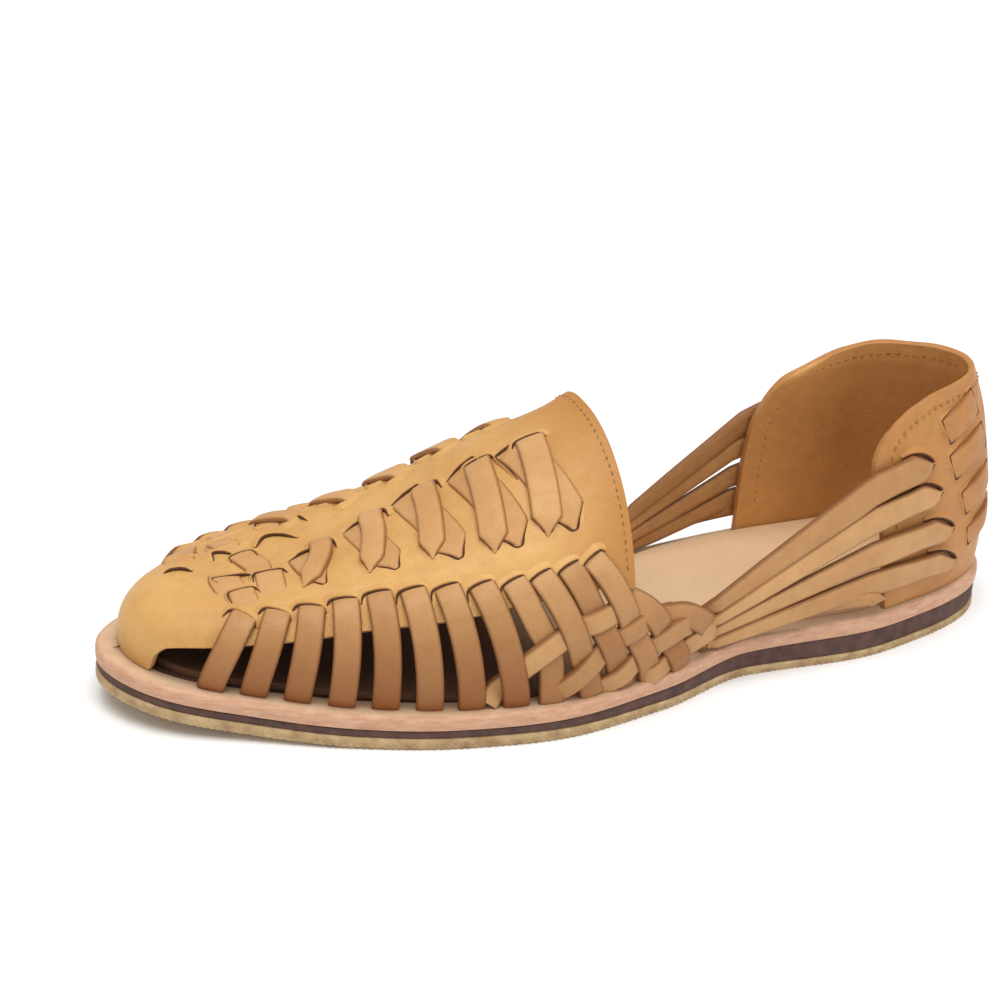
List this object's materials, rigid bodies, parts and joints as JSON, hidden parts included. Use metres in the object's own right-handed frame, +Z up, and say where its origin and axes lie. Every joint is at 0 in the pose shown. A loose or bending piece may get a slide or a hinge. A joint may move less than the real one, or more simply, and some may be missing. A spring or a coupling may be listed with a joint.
{
  "type": "huarache sandal",
  "caption": "Left huarache sandal: hollow woven leather vamp with side strips, rear straps and heel cup on a flat layered sole with a welt.",
  "frame": {"origin": "centre of the bounding box in plan, on the plane the sole stands on", "axes": "+X from heel to toe, +Y to the lateral (outer) side of this left shoe, +Z up"},
  "size_m": [0.265, 0.0936, 0.076],
  "materials": {
    "crepe": "rough crepe rubber, tan yellow",
    "midsole": "matt dark brown foam rubber",
    "welt_leather": "natural leather with a raw pinkish edge",
    "insole_leather": "smooth pale natural leather",
    "vamp_leather": "smooth waxed tan leather, low sheen",
    "counter_leather": "smooth tan leather, folded and stitched rim",
    "strap_leather": "tan leather strips with darker cut edges"
  },
  "bodies": {
    "root": {"outsole": "crepe", "midsole": "midsole", "welt": "welt_leather", "insole": "insole_leather", "upper": "vamp_leather", "heel_counter": "counter_leather", "rear_straps_lateral": "strap_leather", "rear_straps_medial": "strap_leather"}
  },
  "joints": []
}
